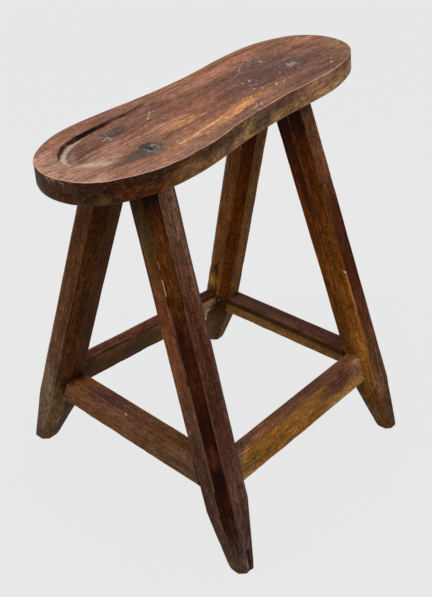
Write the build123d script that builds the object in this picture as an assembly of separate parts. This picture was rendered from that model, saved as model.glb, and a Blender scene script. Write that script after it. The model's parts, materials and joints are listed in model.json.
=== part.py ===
from build123d import *
from math import sqrt
import os

# Hand-made saddle stool: a thick sole-shaped plank seat on four splayed octagonal legs,
# tied near the ground by four stretchers. All pieces are hardwood and all joints are wood:
# round wedged tenons through the seat, rectangular blind tenons from stretcher to leg.
# Sizes in millimetres. +X runs along the seat from its wide, dished end to its narrow end,
# +Y is the left side looking that way, +Z is up, and the feet stand on Z = 0.

# Seat
STOOL_HEIGHT = 480
SEAT_LENGTH = 460
SEAT_WIDTH = 157
SEAT_THICKNESS = 30
SEAT_TOP_ROUND = 1.5
SEAT_BOTTOM_ROUND = 8
# The plank was cut by eye: it sits a little to the left, and its sides differ. Each side
# swells, draws in at the waist and swells again. The three places are shares of the seat's
# length from the wide end and of its width out from its centre line.
SEAT_SHIFT = 3
SEAT_SIDE_SHARES = {
    "left": [(0.200, 0.457), (0.510, 0.412), (0.780, 0.462)],
    "right": [(0.255, 0.538), (0.556, 0.429), (0.780, 0.409)],
}

# Dish carved into the wide end, inside a rim. Its floor rises from the end rim to the top
# of the seat along DISH_RUN, and falls towards the left rim, where the dish is deepest.
DISH_RIM = 26
DISH_RUN = 100
DISH_END_DEPTH = 3.7
DISH_LEFT_FALL = 3
DISH_FLOOR_ROUND = 1.5

# Legs: the pair under the wide end is stouter and wider apart than the other
WIDE_LEG_WIDTH = 47
NARROW_LEG_WIDTH = 43
LEG_CHAMFER_SHARE = 0.27
WIDE_TOP_REACH = 125
NARROW_TOP_REACH = 109
WIDE_TOP_SPACING = 58
NARROW_TOP_SPACING = 53
WIDE_FOOT_REACH = 169
NARROW_FOOT_REACH = 138
WIDE_FOOT_SPACING = 358
NARROW_FOOT_SPACING = 314
# The feet were whittled mostly on their inner sides, so each sole lies a little outwards
FOOT_TAPER_HEIGHT = 75
WIDE_SOLE_SHARE = 0.56
NARROW_SOLE_SHARE = 0.52
SOLE_SHIFT_ALONG = 3
SOLE_SHIFT_ACROSS = 4
SOLE_CHAMFER = 3

# Round tenon on top of each leg, square to the seat, and the wedge that spreads it
TENON_DIAMETER = 23
TENON_CLEARANCE = 0.1
TENON_ROOT = 6
WEDGE_DEPTH = 20
WEDGE_TOP_THICKNESS = 3.4
WEDGE_TIP_THICKNESS = 0.8
# Where each tenon stands off its leg's centre line, as shares of the leg's width
TENON_SHIFT_SHARES = {
    "wide_left": (-0.08, -0.10),
    "wide_right": (0.06, -0.13),
    "narrow_left": (0.03, 0.06),
    "narrow_right": (0.17, 0.10),
}
WEDGE_TURNS = {"wide_left": 72, "wide_right": -38, "narrow_left": -64, "narrow_right": 50}

# Stretchers: their side faces lie in the plane of the two legs that they join. No two are
# alike and none is level, so each has its own section and a height at either leg.
LEFT_STRETCHER_THICKNESS = 19
LEFT_STRETCHER_DEPTH = 42
LEFT_STRETCHER_WIDE_HEIGHT = 111.5
LEFT_STRETCHER_NARROW_HEIGHT = 94
RIGHT_STRETCHER_THICKNESS = 23
RIGHT_STRETCHER_DEPTH = 38.5
RIGHT_STRETCHER_WIDE_HEIGHT = 110
RIGHT_STRETCHER_NARROW_HEIGHT = 101.5
WIDE_STRETCHER_THICKNESS = 30
WIDE_STRETCHER_DEPTH = 35
WIDE_STRETCHER_LEFT_HEIGHT = 110.5
WIDE_STRETCHER_RIGHT_HEIGHT = 109
NARROW_STRETCHER_THICKNESS = 28
NARROW_STRETCHER_DEPTH = 24.5
NARROW_STRETCHER_LEFT_HEIGHT = 92
NARROW_STRETCHER_RIGHT_HEIGHT = 102
STRETCHER_TOP_CHAMFER = 4.5
STRETCHER_BOTTOM_CHAMFER = 1.5
STRETCHER_TENON_THICKNESS = 10
STRETCHER_TENON_LENGTH = 14
STRETCHER_SHOULDER = 5
MORTISE_CLEARANCE = 0.15
MORTISE_END_GAP = 1

# One overrun serves every cut that runs past a face
OVERRUN = 20

SEAT_UNDERSIDE = STOOL_HEIGHT - SEAT_THICKNESS
LEG_WIDTHS = {"wide": WIDE_LEG_WIDTH, "narrow": NARROW_LEG_WIDTH}
SOLE_SHARES = {"wide": WIDE_SOLE_SHARE, "narrow": NARROW_SOLE_SHARE}
TOP_REACHES = {"wide": -WIDE_TOP_REACH, "narrow": NARROW_TOP_REACH}
FOOT_REACHES = {"wide": -WIDE_FOOT_REACH, "narrow": NARROW_FOOT_REACH}
TOP_SPACINGS = {"wide": WIDE_TOP_SPACING, "narrow": NARROW_TOP_SPACING}
FOOT_SPACINGS = {"wide": WIDE_FOOT_SPACING, "narrow": NARROW_FOOT_SPACING}
SIDES = {"left": 1, "right": -1}
ENDS = {"wide": -1, "narrow": 1}
# The ends and the sides of the two legs that each stretcher joins
STRETCHER_ENDS = {
    "stretcher_left": (("wide", "narrow"), ("left", "left")),
    "stretcher_right": (("wide", "narrow"), ("right", "right")),
    "stretcher_wide_end": (("wide", "wide"), ("left", "right")),
    "stretcher_narrow_end": (("narrow", "narrow"), ("left", "right")),
}
# The thickness and depth of each stretcher
STRETCHER_SECTIONS = {
    "stretcher_left": (LEFT_STRETCHER_THICKNESS, LEFT_STRETCHER_DEPTH),
    "stretcher_right": (RIGHT_STRETCHER_THICKNESS, RIGHT_STRETCHER_DEPTH),
    "stretcher_wide_end": (WIDE_STRETCHER_THICKNESS, WIDE_STRETCHER_DEPTH),
    "stretcher_narrow_end": (NARROW_STRETCHER_THICKNESS, NARROW_STRETCHER_DEPTH),
}
# The height of its middle at its two legs
STRETCHER_HEIGHTS = {
    "stretcher_left": (LEFT_STRETCHER_WIDE_HEIGHT, LEFT_STRETCHER_NARROW_HEIGHT),
    "stretcher_right": (RIGHT_STRETCHER_WIDE_HEIGHT, RIGHT_STRETCHER_NARROW_HEIGHT),
    "stretcher_wide_end": (WIDE_STRETCHER_LEFT_HEIGHT, WIDE_STRETCHER_RIGHT_HEIGHT),
    "stretcher_narrow_end": (NARROW_STRETCHER_LEFT_HEIGHT, NARROW_STRETCHER_RIGHT_HEIGHT),
}


def biarc(start, start_way, finish, finish_way):
    """Two arcs that meet smoothly, leaving one point and reaching another in given directions."""
    gap = finish - start
    ahead = gap.dot(start_way + finish_way)
    turn = 2 * (1 - start_way.dot(finish_way))
    reach = gap.dot(gap) / (ahead + sqrt(ahead**2 + turn * gap.dot(gap)))
    middle = (start + start_way * reach + finish - finish_way * reach) * (1 / 2)
    first = TangentArc(start, middle, tangent=start_way)
    second = TangentArc(middle, finish, tangent=first % 1)
    return [first, second]


def seat_side(side, inset):
    """One side of the seat's plan in arcs, from the middle of the wide end to the other."""
    turn = SIDES[side]
    swell, waist, far_swell = (
        Vector(SEAT_LENGTH * (along - 1 / 2), SEAT_SHIFT + turn * (SEAT_WIDTH * out - inset))
        for along, out in SEAT_SIDE_SHARES[side])
    tip = Vector(SEAT_LENGTH / 2 - inset, SEAT_SHIFT)
    spots = [Vector(-tip.X, tip.Y), swell, waist, far_swell, tip]
    along, out = Vector(1, 0), Vector(0, turn)
    ways = [out, along, (far_swell - swell).normalized(), along, out * -1]
    arcs = []
    for i in range(len(spots) - 1):
        arcs += biarc(spots[i], ways[i], spots[i + 1], ways[i + 1])
    return arcs


def seat_face(inset=0):
    """The sole-shaped plan of the seat, drawn in by an inset."""
    return make_face(seat_side("left", inset) + seat_side("right", inset))


def dish_cutter():
    """What the gouge took away: the rim's inner outline above a floor that tilts two ways."""
    block = extrude(Pos(0, 0, SEAT_UNDERSIDE) * seat_face(DISH_RIM), SEAT_THICKNESS + OVERRUN)
    rim_x = DISH_RIM - SEAT_LENGTH / 2
    end_low = Vector(rim_x, 0, STOOL_HEIGHT - DISH_END_DEPTH)
    run_out = Vector(rim_x + DISH_RUN, 0, STOOL_HEIGHT)
    left_low = Vector(rim_x + DISH_RUN, SEAT_WIDTH / 2 - DISH_RIM, STOOL_HEIGHT - DISH_LEFT_FALL)
    floor = Plane(run_out, z_dir=(run_out - end_low).cross(left_low - run_out))
    block = split(block, bisect_by=floor, keep=Keep.TOP)
    return fillet(block.faces().sort_by(Axis.Z)[0].edges(), DISH_FLOOR_ROUND)


def leg_line(end, side):
    """A leg's centre line, from the ground to the seat's underside."""
    foot = Vector(FOOT_REACHES[end], SIDES[side] * FOOT_SPACINGS[end] / 2, 0)
    top = Vector(TOP_REACHES[end], SIDES[side] * TOP_SPACINGS[end] / 2, SEAT_UNDERSIDE)
    return foot, top


def point_at(line, height):
    """The point of a leg's centre line at a height above the ground."""
    foot, top = line
    return foot + (top - foot) * (height / (top.Z - foot.Z))


def leg_plane(line, height):
    """The plane square to a leg at a height, with its X axis turned towards the seat's."""
    foot, top = line
    along = (top - foot).normalized()
    x_axis = Vector(1, 0, 0)
    return Plane(point_at(line, height), x_dir=x_axis - along * x_axis.dot(along), z_dir=along)


def octagon(width):
    """A square with its corners planed off."""
    return chamfer(Rectangle(width, width).vertices(), width * LEG_CHAMFER_SHARE)


def tenon_centre(end, side):
    """Where a leg's tenon comes through the seat, seen from above."""
    shift_x, shift_y = TENON_SHIFT_SHARES[f"{end}_{side}"]
    width = LEG_WIDTHS[end]
    x = TOP_REACHES[end] + shift_x * width
    y = SIDES[side] * TOP_SPACINGS[end] / 2 + shift_y * width
    return x, y


def tenon_rod(end, side, clearance=0):
    """A round rod on a tenon's axis, from inside the leg to the seat's top."""
    x, y = tenon_centre(end, side)
    rod = Cylinder(TENON_DIAMETER / 2 + clearance, SEAT_THICKNESS + TENON_ROOT,
                   align=(Align.CENTER, Align.CENTER, Align.MIN))
    return Pos(x, y, SEAT_UNDERSIDE - TENON_ROOT) * rod


def wedge_bar(end, side):
    """A tapered bar right across a tenon, thick end up."""
    x, y = tenon_centre(end, side)
    half_top, half_tip = WEDGE_TOP_THICKNESS / 2, WEDGE_TIP_THICKNESS / 2
    taper = make_face(Polyline((-half_tip, -WEDGE_DEPTH), (half_tip, -WEDGE_DEPTH),
                               (half_top, 0), (-half_top, 0), close=True))
    bar = extrude(Plane.XZ * taper, TENON_DIAMETER / 2 + OVERRUN, both=True)
    return Pos(x, y, STOOL_HEIGHT) * Rot(Z=WEDGE_TURNS[f"{end}_{side}"]) * bar


def leg(end, side, dish):
    """One leg: octagonal post, foot whittled below the stretchers, round tenon on top."""
    line = leg_line(end, side)
    width = LEG_WIDTHS[end]
    knee, below = leg_plane(line, FOOT_TAPER_HEIGHT), leg_plane(line, -OVERRUN)
    run_on = 1 + OVERRUN / FOOT_TAPER_HEIGHT
    below_width = width * (1 - (1 - SOLE_SHARES[end]) * run_on)
    below_middle = Pos(ENDS[end] * SOLE_SHIFT_ALONG * run_on, SIDES[side] * SOLE_SHIFT_ACROSS * run_on)
    post = extrude(knee * octagon(width), (line[1] - knee.origin).length + OVERRUN)
    foot = loft([below * below_middle * octagon(below_width), knee * octagon(width)])
    body = split(post + foot, bisect_by=Plane.XY, keep=Keep.TOP)
    body = split(body, bisect_by=Plane.XY.offset(SEAT_UNDERSIDE), keep=Keep.BOTTOM)
    body = chamfer(body.edges().group_by(Axis.Z)[0], SOLE_CHAMFER)
    return body + tenon_rod(end, side) - wedge_bar(end, side) - dish


def inner_face(line, width, towards):
    """The plane of the leg's flat side that faces a stretcher."""
    plane = leg_plane(line, 0)
    sides = [plane.x_dir, plane.y_dir, plane.x_dir * -1, plane.y_dir * -1]
    outward = max(sides, key=lambda side: side.dot(towards))
    return Plane(plane.origin + outward * (width / 2), z_dir=outward)


def stretcher_frame(first, second, heights):
    """The plane of a stretcher's end section on the first leg's centre line, and its length."""
    start, finish = point_at(first, heights[0]), point_at(second, heights[1])
    run = (finish - start).normalized()
    lean = (first[1] - first[0]) + (second[1] - second[0])
    return Plane(start, x_dir=lean.cross(run), z_dir=run), (finish - start).length


def trimmed(bar, faces, reach):
    """A bar cut off where it has gone a given distance into each leg."""
    for face in faces:
        bar = split(bar, bisect_by=face.offset(-reach), keep=Keep.TOP)
    return bar


def stretcher(ends, sides, size, heights):
    """One stretcher with a tenon at both ends, and the bar that cuts its mortises."""
    lines = [leg_line(end, side) for end, side in zip(ends, sides)]
    plane, length = stretcher_frame(*lines, heights)
    faces = [inner_face(lines[0], LEG_WIDTHS[ends[0]], plane.z_dir),
             inner_face(lines[1], LEG_WIDTHS[ends[1]], plane.z_dir * -1)]
    thickness, depth = size
    section = Rectangle(thickness, depth)
    section = chamfer(section.vertices().group_by(Axis.Y)[-1], STRETCHER_TOP_CHAMFER)
    section = chamfer(section.vertices().group_by(Axis.Y)[0], STRETCHER_BOTTOM_CHAMFER)
    tenon = Rectangle(STRETCHER_TENON_THICKNESS, depth - 2 * STRETCHER_SHOULDER)
    rail = trimmed(extrude(plane * section, length), faces, 0)
    tongue = trimmed(extrude(plane * tenon, length), faces, STRETCHER_TENON_LENGTH)
    slot = offset(tenon, amount=MORTISE_CLEARANCE, kind=Kind.INTERSECTION)
    mortise = trimmed(extrude(plane * slot, length), faces, STRETCHER_TENON_LENGTH + MORTISE_END_GAP)
    return rail + tongue, mortise


def seat(dish):
    """The plank seat, rounded under, with four round holes and the dish."""
    plank = extrude(Pos(0, 0, SEAT_UNDERSIDE) * seat_face(), SEAT_THICKNESS)
    plank = fillet(plank.edges().group_by(Axis.Z)[0], SEAT_BOTTOM_ROUND)
    plank = fillet(plank.edges().group_by(Axis.Z)[-1], SEAT_TOP_ROUND)
    for end in LEG_WIDTHS:
        for side in SIDES:
            plank -= tenon_rod(end, side, TENON_CLEARANCE)
    return plank - dish


def build():
    """All pieces by name."""
    dish = dish_cutter()
    pieces = {"seat": seat(dish)}
    mortises = []
    for name, (ends, sides) in STRETCHER_ENDS.items():
        size, heights = STRETCHER_SECTIONS[name], STRETCHER_HEIGHTS[name]
        pieces[name], mortise = stretcher(ends, sides, size, heights)
        mortises.append(mortise)
    for end in LEG_WIDTHS:
        for side in SIDES:
            post = leg(end, side, dish)
            for mortise in mortises:
                post -= mortise
            pieces[f"leg_{end}_{side}"] = post
            pieces[f"wedge_{end}_{side}"] = wedge_bar(end, side) & tenon_rod(end, side) - dish
    return pieces


os.makedirs("parts", exist_ok=True)
for name, piece in build().items():
    export_step(piece, f"parts/{name}.step")
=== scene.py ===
"""Old hand-made saddle stool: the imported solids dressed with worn, hewn surfaces and waxed wood."""
import json
import math

import bmesh
import bpy
from mathutils import Matrix, Vector, noise


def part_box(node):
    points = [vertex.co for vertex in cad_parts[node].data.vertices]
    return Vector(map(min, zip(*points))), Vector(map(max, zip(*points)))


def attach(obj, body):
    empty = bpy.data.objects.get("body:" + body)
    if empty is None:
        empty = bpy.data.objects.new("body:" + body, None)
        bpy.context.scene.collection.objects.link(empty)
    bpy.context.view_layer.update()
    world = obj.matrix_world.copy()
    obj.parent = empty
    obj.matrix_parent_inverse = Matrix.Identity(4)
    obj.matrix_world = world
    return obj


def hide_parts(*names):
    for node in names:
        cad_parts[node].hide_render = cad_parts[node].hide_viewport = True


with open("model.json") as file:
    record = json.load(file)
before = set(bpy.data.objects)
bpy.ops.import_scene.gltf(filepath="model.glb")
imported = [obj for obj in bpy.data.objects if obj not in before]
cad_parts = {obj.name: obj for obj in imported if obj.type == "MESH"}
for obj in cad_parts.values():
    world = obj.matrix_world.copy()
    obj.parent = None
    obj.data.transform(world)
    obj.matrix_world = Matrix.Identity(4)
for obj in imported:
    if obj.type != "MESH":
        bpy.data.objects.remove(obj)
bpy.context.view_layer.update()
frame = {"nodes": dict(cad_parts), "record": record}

MM = 0.001
SEAT_LOW, SEAT_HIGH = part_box("seat")
SEAT_TOP = SEAT_HIGH.z
SEAT_UNDERSIDE = SEAT_LOW.z

# The legs' centre lines: places at the ground and at the seat's underside, in metres
LEG_LINES = {
    "wide_left": (Vector((-0.169, 0.179, 0)), Vector((-0.125, 0.029, SEAT_UNDERSIDE))),
    "wide_right": (Vector((-0.169, -0.179, 0)), Vector((-0.125, -0.029, SEAT_UNDERSIDE))),
    "narrow_left": (Vector((0.138, 0.157, 0)), Vector((0.109, 0.0265, SEAT_UNDERSIDE))),
    "narrow_right": (Vector((0.138, -0.157, 0)), Vector((0.109, -0.0265, SEAT_UNDERSIDE))),
}
SOLES = {mount["name"].replace("floor_", ""): Vector(mount["pos_m"]) for mount in frame["record"]["mounts"]}

# The legs each stretcher joins, and the heights of its middle at them
RAIL_ENDS = {
    "stretcher_left": (("wide_left", 0.1115), ("narrow_left", 0.094)),
    "stretcher_right": (("wide_right", 0.110), ("narrow_right", 0.1015)),
    "stretcher_wide_end": (("wide_left", 0.1105), ("wide_right", 0.109)),
    "stretcher_narrow_end": (("narrow_left", 0.092), ("narrow_right", 0.102)),
}

# Camera, found by fitting the stool's outline: places in metres, angles in degrees
CAMERA_PLACE = Vector((-0.79675, -0.80789, 0.97270))
CAMERA_AZIMUTH = -42.76
CAMERA_ELEVATION = 33.66
CAMERA_ROLL = -4.69
FOCAL_PIXELS = 1088.3
PHOTO_WIDTH = 432
PHOTO_HEIGHT = 597
PRINCIPAL_X = 190.9
PRINCIPAL_Y = 297.2
SENSOR_MM = 36


# Node helpers

class Value:
    """A node's output. Python's own arithmetic on it adds the maths nodes that it takes."""

    def __init__(self, tree, socket):
        self.tree, self.socket = tree, socket

    def __add__(self, other):
        return maths(self, "ADD", other)

    def __radd__(self, other):
        return maths(other, "ADD", self)

    def __sub__(self, other):
        return maths(self, "SUBTRACT", other)

    def __rsub__(self, other):
        return maths(other, "SUBTRACT", self)

    def __mul__(self, other):
        return maths(self, "MULTIPLY", other)

    def __truediv__(self, other):
        return maths(self, "DIVIDE", other)

    def dot(self, other):
        return maths(self, "DOT_PRODUCT", other, "Value")

    def length(self):
        return node(self.tree, "VectorMath", {0: self}, operation="LENGTH")["Value"]

    def between(self, low, high, to_low=0.0, to_high=1.0):
        """The value eased from one range to another, and held at its ends."""
        sockets = {"Value": self, "From Min": low, "From Max": high, "To Min": to_low, "To Max": to_high}
        return node(self.tree, "MapRange", sockets, interpolation_type="SMOOTHSTEP")[0]

    def noise(self, detail, roughness=0.55, output="Fac"):
        """The noise at this vector."""
        sockets = {"Vector": self, "Scale": 1.0, "Detail": detail, "Roughness": roughness}
        return node(self.tree, "TexNoise", sockets)[output]


def node(tree, kind, sockets=None, **settings):
    """Adds a node with its settings, its sockets linked or set, and gives its outputs by number and name."""
    made = tree.nodes.new("ShaderNode" + kind)
    for key, value in settings.items():
        setattr(made, key, value)
    for key, value in (sockets or {}).items():
        if isinstance(value, Value):
            tree.links.new(value.socket, made.inputs[key])
        else:
            made.inputs[key].default_value = value
    return {key: Value(tree, out) for i, out in enumerate(made.outputs) for key in (i, out.name)}


def maths(first, operation, second=0.0, output=0):
    """Two values, or a value and a plain number, through one maths node."""
    value = first if isinstance(first, Value) else second
    kind = "VectorMath" if value.socket.type == "VECTOR" else "Math"
    return node(value.tree, kind, {0: first, 1: second}, operation=operation)[output]


def empty_tree(holder):
    """The node tree of a material or a world, emptied."""
    holder.use_nodes = True
    holder.node_tree.nodes.clear()
    return holder.node_tree


def colour(red, green, blue):
    """A colour given in eight-bit display values."""
    def linear(value):
        value /= 255
        return value / 12.92 if value <= 0.04045 else ((value + 0.055) / 1.055) ** 2.4
    return linear(red), linear(green), linear(blue), 1.0


def new_group(name, inputs, work):
    """A shader group: its inputs with their defaults, and the function that works its outputs out."""
    group = bpy.data.node_groups.new(name, "ShaderNodeTree")
    for title, default in inputs.items():
        kind = "NodeSocketVector" if isinstance(default, tuple) else "NodeSocketFloat"
        group.interface.new_socket(name=title, in_out="INPUT", socket_type=kind).default_value = default
    entry = group.nodes.new("NodeGroupInput")
    results = work(*(Value(group, entry.outputs[title]) for title in inputs))
    for title in results:
        group.interface.new_socket(name=title, in_out="OUTPUT", socket_type="NodeSocketFloat")
    leave = group.nodes.new("NodeGroupOutput")
    for title, value in results.items():
        group.links.new(value.socket, leave.inputs[title])
    return group


def grain(vector, across, fibre_across):
    """Wood grain along X: broad bands, fine fibres, dark pores, pale flecks, and a height for them."""
    sway = ((vector * (7, 12, 12)).noise(2.0) - 0.5) * 0.014
    bent = vector + node(vector.tree, "CombineXYZ", {"Y": sway, "Z": sway})[0]

    def pattern(along, wide, detail, roughness):
        scale = node(vector.tree, "CombineXYZ", {"X": along, "Y": wide, "Z": wide})[0]
        return (bent * scale).noise(detail, roughness)

    band = pattern(4.0, across, 4.0, 0.62)
    fibre = pattern(18.0, fibre_across, 3.0, 0.7)
    pores = pattern(80.0, fibre_across * 2.0, 1.0, 0.5)
    pore = pores.between(0.60, 0.70)
    fleck = pores.between(0.39, 0.31)
    return {"Band": band, "Fibre": fibre, "Pore": pore, "Fleck": fleck, "Height": fibre - pore * 0.6}


def mottle(vector):
    """Unevenness at three sizes: broad blotches, small ones and grit, each around a half."""
    sizes = {"Broad": (22, 38, 3.0), "Small": (120, 190, 3.0), "Grit": (480, 620, 2.0)}
    return {title: (vector * (along, across, across)).noise(detail, 0.62)
            for title, (along, across, detail) in sizes.items()}


def spot(vector, place, axis_x, axis_y, axis_z, soft):
    """A soft patch around a place. Each axis is a direction divided by the patch's half size."""
    reach = vector - place
    gap = 0.0
    for axis in (axis_x, axis_y, axis_z):
        part = reach.dot(axis)
        gap = part * part + gap
    return {"Mask": maths(gap, "SQRT").between(1.0 + soft, 1.0 - soft)}


def stroke(vector, start, finish, width, soft):
    """A soft line between two places, of a given half width."""
    reach = vector - start
    run = finish - start
    share = reach.dot(run) / run.dot(run)
    share = maths(maths(share, "MAXIMUM", 0.0), "MINIMUM", 1.0)
    foot = node(vector.tree, "VectorMath", {0: run, 3: share}, operation="SCALE")[0]
    gap = (reach - foot).length() / width
    return {"Mask": gap.between(1.0 + soft, 1.0 - soft)}


HERE = {"Vector": (0, 0, 0)}  # the place that a pattern is worked out for
GRAIN = new_group("wood_grain", {**HERE, "Across": 60.0, "Fibre Across": 520.0}, grain)
MOTTLE = new_group("mottle", HERE, mottle)
SPOT = new_group("spot", {**HERE, "Place": (0, 0, 0), "Axis X": (1, 0, 0), "Axis Y": (0, 1, 0),
                          "Axis Z": (0, 0, 1), "Soft": 0.5}, spot)
STROKE = new_group("stroke", {**HERE, "From": (0, 0, 0), "To": (1, 0, 0), "Width": 0.001, "Soft": 0.5},
                   stroke)


class Wood:
    """A wood material being painted: tones first, then grain and grit, then marks on top.

    Marks lie at places of three numbers in the piece's own space, or of two numbers seen from above,
    in millimetres. Ragged ones follow the wood, the others are clean.
    """

    RAGGED, CLEAN = 8 * MM, 0.6 * MM
    TONE_SWAY = 0.09
    BUMP, BUMP_DEPTH = 0.6, 0.4 * MM

    def __init__(self, name, space, seed, tone, across=60.0):
        self.material = bpy.data.materials.new(name)
        self.tree = tree = empty_tree(self.material)
        turn = space.inverted()
        euler = turn.to_euler("XYZ")
        here = node(tree, "TexCoord")
        vector = node(tree, "Mapping", {"Vector": here["Object"], "Location": turn.translation,
                                        "Rotation": euler})[0]
        facing = node(tree, "Mapping", {"Vector": here["Normal"], "Rotation": euler})[0]
        self.facing = node(tree, "SeparateXYZ", {0: facing})
        self.place = node(tree, "SeparateXYZ", {0: vector})
        self.world = node(tree, "SeparateXYZ", {0: here["Object"]})
        self.shifted = vector + (seed, seed * 1.7, seed * 0.6)
        self.grain = node(tree, "Group", {"Vector": self.shifted, "Across": across}, node_tree=GRAIN)
        self.mottle = node(tree, "Group", {"Vector": self.shifted}, node_tree=MOTTLE)
        waves = node(tree, "SeparateColor", {0: (self.shifted * (26, 75, 75)).noise(3.0, 0.65, "Color")})
        waves = [waves[i] - 0.5 for i in range(3)]
        waves[0] += self.grain["Band"] * 0.01
        drift = node(tree, "CombineXYZ", dict(enumerate(waves)))[0]
        flat = here["Object"] * (1, 1, 0)  # the height left out, for marks seen from above
        self.vectors = {}
        for ragged, size in ((True, self.RAGGED), (False, self.CLEAN)):
            self.vectors[3, ragged] = vector + drift * (size * 3, size, size)
            self.vectors[2, ragged] = flat + drift * (size * 3, size, 0)
        self.colour = colour(*tone)
        self.rough = self.mottle["Small"].between(0.3, 0.7, 0.46, 0.62) + self.grain["Fibre"] * 0.08
        self.height = self.grain["Height"]

    def lay(self, mask, tone, strength=1.0, blend="MIX"):
        """A colour over the wood where the mask is set."""
        factor = mask * strength if strength != 1.0 else mask
        tone = tone if isinstance(tone, Value) else colour(*tone)
        self.colour = node(self.tree, "Mix", {0: factor, 6: self.colour, 7: tone},
                           data_type="RGBA", blend_type=blend, clamp_factor=True)[2]

    def tones_along(self, steps):
        """A colour that changes up the piece: each step is a place in millimetres and its tone."""
        low, high = steps[0][0], steps[-1][0]
        at = self.place["X"] + (self.mottle["Broad"] - 0.5) * self.TONE_SWAY
        ramp = node(self.tree, "ValToRGB", {"Fac": (at - low * MM) * (1 / ((high - low) * MM))})[0]
        stops = ramp.socket.node.color_ramp.elements
        while len(stops) < len(steps):
            stops.new(0.5)
        for stop, (place, *tone) in zip(stops, steps):
            stop.position = (place - low) / (high - low)
            stop.color = colour(*tone)
        return ramp

    def face(self, y, z, low=0.86, high=0.96):
        """Where the surface faces a direction in the piece's own section."""
        size = math.hypot(y, z)
        return (self.facing["Y"] * (y / size) + self.facing["Z"] * (z / size)).between(low, high)

    def stretch(self, low, high, ease):
        """From one place to another along the piece, in millimetres, with soft ends."""
        rise = self.place["X"].between((low - ease) * MM, (low + ease) * MM)
        return rise * self.place["X"].between((high + ease) * MM, (high - ease) * MM)

    def patch(self, place, size, soft=0.6, turn=0, ragged=True):
        """The mask of a patch with these half sizes, in millimetres, turned about Z in degrees."""
        cos, sin = math.cos(math.radians(turn)), math.sin(math.radians(turn))
        x, y, z = (value * MM for value in (*size, size[-1])[:3])
        sockets = {"Vector": self.vectors[len(place), ragged], "Place": in_metres(place), "Soft": soft,
                   "Axis X": (cos / x, sin / x, 0), "Axis Y": (-sin / y, cos / y, 0), "Axis Z": (0, 0, 1 / z)}
        return node(self.tree, "Group", sockets, node_tree=SPOT)["Mask"]

    def spots(self, table, within=None):
        """Patches: tone, strength, place, half sizes and, unless usual, softness, turn, ragged or not."""
        for tone, strength, *shape in table:
            mask = self.patch(*shape)
            self.lay(mask * within if within else mask, tone, strength)

    def strokes(self, table, within=None, sink=0.6):
        """Lines: tone, strength, places, half width and, unless usual, softness, ragged or not.

        Each also lowers the surface by a share of its strength, in the height's own measure.
        """
        for tone, strength, places, width, *rest in table:
            soft, ragged = rest + [0.8, len(places[0]) == 2][len(rest):]
            for start, finish in zip(places, places[1:]):
                sockets = {"Vector": self.vectors[len(start), ragged], "From": in_metres(start),
                           "To": in_metres(finish), "Width": width * MM, "Soft": soft}
                mask = node(self.tree, "Group", sockets, node_tree=STROKE)["Mask"]
                mask = mask * within if within else mask
                self.lay(mask, tone, strength)
                if sink:
                    self.height -= mask * (sink * strength)

    def clouds(self, low, high, along, across, offset):
        """Irregular areas from a noise, as a mask."""
        vector = (self.shifted + (offset, offset, offset)) * (along, across, across)
        return vector.noise(4.0, 0.62).between(low, high)

    def weather(self, band=0.22, fibre=0.34, pore=0.6, fleck=0.5, small=0.24, grit=0.32):
        """Multiplies the tones by grain and grit, blue a little more, and darkens the pores."""
        shade = (self.grain["Fleck"] * fleck + 1.0) * 0.96
        for value, amount in ((self.grain["Band"], band), (self.grain["Fibre"], fibre),
                              (self.mottle["Broad"], 0.14), (self.mottle["Small"], small),
                              (self.mottle["Grit"], grit)):
            shade = shade * value.between(0.36, 0.64, 1 - amount, 1 + amount)
        tint = node(self.tree, "CombineColor", {0: shade, 1: shade, 2: maths(shade, "POWER", 1.3)})[0]
        self.lay(1.0, tint, blend="MULTIPLY")
        self.lay(self.grain["Pore"] * pore, (22, 11, 7))
        self.height += self.mottle["Small"] * 1.2
        self.height += self.mottle["Grit"] * 0.5

    def rub_edges(self, tone, strength):
        """Paler wood along the worn arrises, broken by clouds."""
        arris = node(self.tree, "Attribute", attribute_name="arris")["Fac"].between(0.55, 0.95)
        self.lay(arris * self.clouds(0.42, 0.6, 60, 60, 3.0), tone, strength)

    def finish(self, shine=0.03):
        bump = node(self.tree, "Bump", {"Height": self.height, "Strength": self.BUMP,
                                        "Distance": self.BUMP_DEPTH})[0]
        shader = node(self.tree, "BsdfPrincipled", {"Base Color": self.colour, "Roughness": self.rough,
                                                    "Normal": bump, "Specular IOR Level": shine})[0]
        node(self.tree, "OutputMaterial", {"Surface": shader})
        return self.material


def in_metres(place):
    """A place of two or three numbers in millimetres, as three in metres."""
    return [value * MM for value in (*place, 0)[:3]]


# Spaces of the pieces

def space_of(origin, along, beside):
    """A piece's own space: X along its grain, Y beside, Z square to both."""
    x = along.normalized()
    y = (beside - x * beside.dot(x)).normalized()
    matrix = Matrix((x, y, x.cross(y))).transposed().to_4x4()
    matrix.translation = origin
    return matrix


def leg_run(corner):
    foot, top = LEG_LINES[corner]
    return top - foot


def leg_space(corner):
    """X up the leg from the ground, Y towards the seat's narrow end, Z to the left."""
    return space_of(LEG_LINES[corner][0], leg_run(corner), Vector((1, 0, 0)))


def rail_space(name):
    """X along the stretcher from its middle, Y across it, away from the camera, and Z up it."""
    ends = RAIL_ENDS[name]
    start, finish = (LEG_LINES[leg][0] + leg_run(leg) * (height / SEAT_UNDERSIDE) for leg, height in ends)
    lean = leg_run(ends[0][0]) + leg_run(ends[1][0])
    return space_of((start + finish) / 2, finish - start, lean.cross(finish - start))


def seat_space():
    """X along the seat, Y to the left, Z up, from the middle of its top."""
    return space_of(Vector((0, 0, SEAT_TOP)), Vector((1, 0, 0)), Vector((0, 1, 0)))


# Meshes: a copy of each solid, merged, cut into small faces and worn

WHOLE_FACE_TURN = 0.4
ARRIS_TURN = 9
SHARP_TURN = 32


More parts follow.
